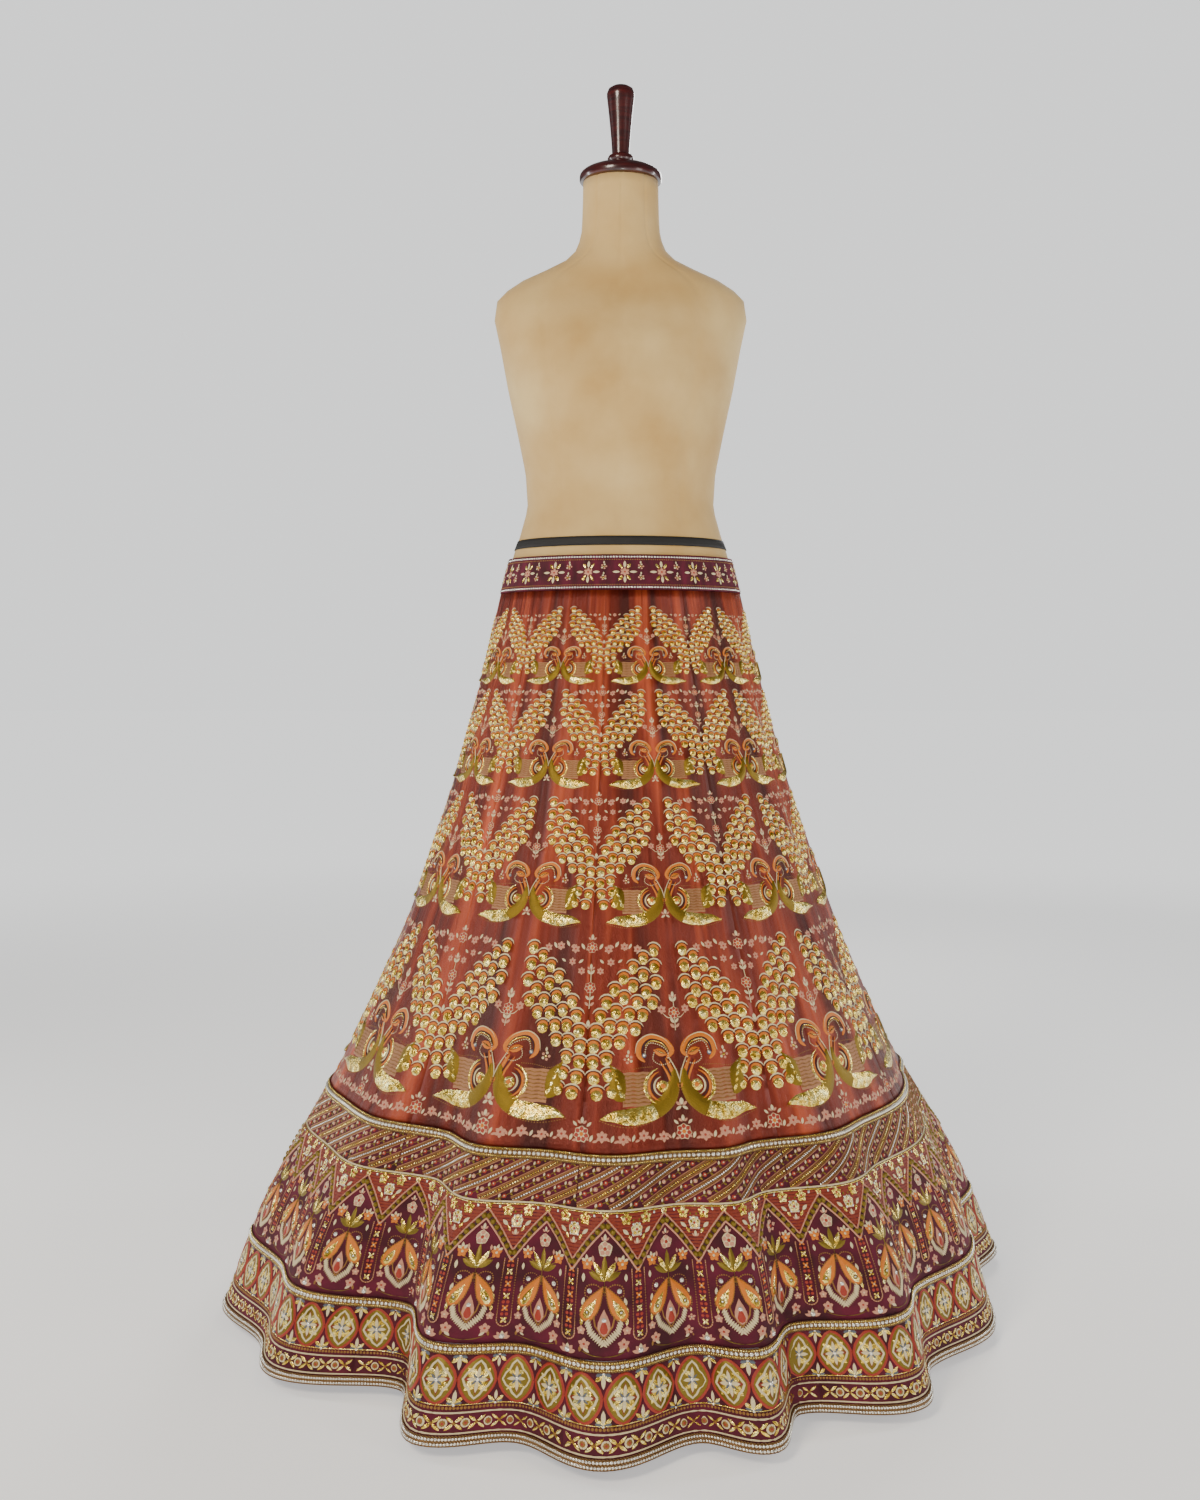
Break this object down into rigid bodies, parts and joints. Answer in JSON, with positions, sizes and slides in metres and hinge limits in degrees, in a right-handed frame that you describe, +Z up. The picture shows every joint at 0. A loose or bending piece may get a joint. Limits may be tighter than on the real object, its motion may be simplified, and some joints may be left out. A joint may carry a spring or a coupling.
{
  "type": "lehenga skirt on a dress form",
  "caption": "Floor-length flared skirt of embroidered gores with striped, arched and medallion border bands, on a limbless covered dress form with a turned finial and a round base.",
  "frame": {"origin": "on the floor, under the middle of the object's box", "axes": "+Z up, the form faces -Y, +X to the viewer's right"},
  "size_m": [1.1648, 1.1708, 1.7669],
  "materials": {
    "rust_velvet": "rust satin-backed velvet with a soft sheen, embroidered in gold foil, zari and silk",
    "maroon_velvet": "deep maroon cotton velvet, embroidered in gold and coral",
    "zari_braid": "gold zari braid with sewn stones",
    "form_cover": "cream-beige form cover with a faint sheen",
    "waist_tape": "black woven tape",
    "lacquered_wood": "turned wood, dark maroon-black lacquer, rim worn to tan",
    "black_iron": "black enamelled iron"
  },
  "bodies": {
    "root": {"kali_01": "rust_velvet", "kali_02": "rust_velvet", "kali_03": "rust_velvet", "kali_04": "rust_velvet", "kali_05": "rust_velvet", "kali_06": "rust_velvet", "kali_07": "rust_velvet", "kali_08": "rust_velvet", "kali_09": "rust_velvet", "kali_10": "rust_velvet", "stripe_band_01": "maroon_velvet", "stripe_band_02": "maroon_velvet", "stripe_band_03": "maroon_velvet", "stripe_band_04": "maroon_velvet", "stripe_band_05": "maroon_velvet", "stripe_band_06": "maroon_velvet", "stripe_band_07": "maroon_velvet", "stripe_band_08": "maroon_velvet", "stripe_band_09": "maroon_velvet", "stripe_band_10": "maroon_velvet", "arch_panel_01": "maroon_velvet", "arch_panel_02": "maroon_velvet", "arch_panel_03": "maroon_velvet", "arch_panel_04": "maroon_velvet", "arch_panel_05": "maroon_velvet", "arch_panel_06": "maroon_velvet", "arch_panel_07": "maroon_velvet", "arch_panel_08": "maroon_velvet", "arch_panel_09": "maroon_velvet", "arch_panel_10": "maroon_velvet", "hem_band_01": "maroon_velvet", "hem_band_02": "maroon_velvet", "hem_band_03": "maroon_velvet", "hem_band_04": "maroon_velvet", "hem_band_05": "maroon_velvet", "hem_band_06": "maroon_velvet", "hem_band_07": "maroon_velvet", "hem_band_08": "maroon_velvet", "hem_band_09": "maroon_velvet", "hem_band_10": "maroon_velvet", "kali_braid": "zari_braid", "arch_braid": "zari_braid", "hem_braid": "zari_braid", "waistband": "maroon_velvet", "form_torso": "form_cover", "waist_tape": "waist_tape", "neck_cap": "lacquered_wood", "finial_bead": "lacquered_wood", "finial_handle": "lacquered_wood", "stand_pole": "black_iron", "stand_base": "black_iron"}
  },
  "joints": []
}
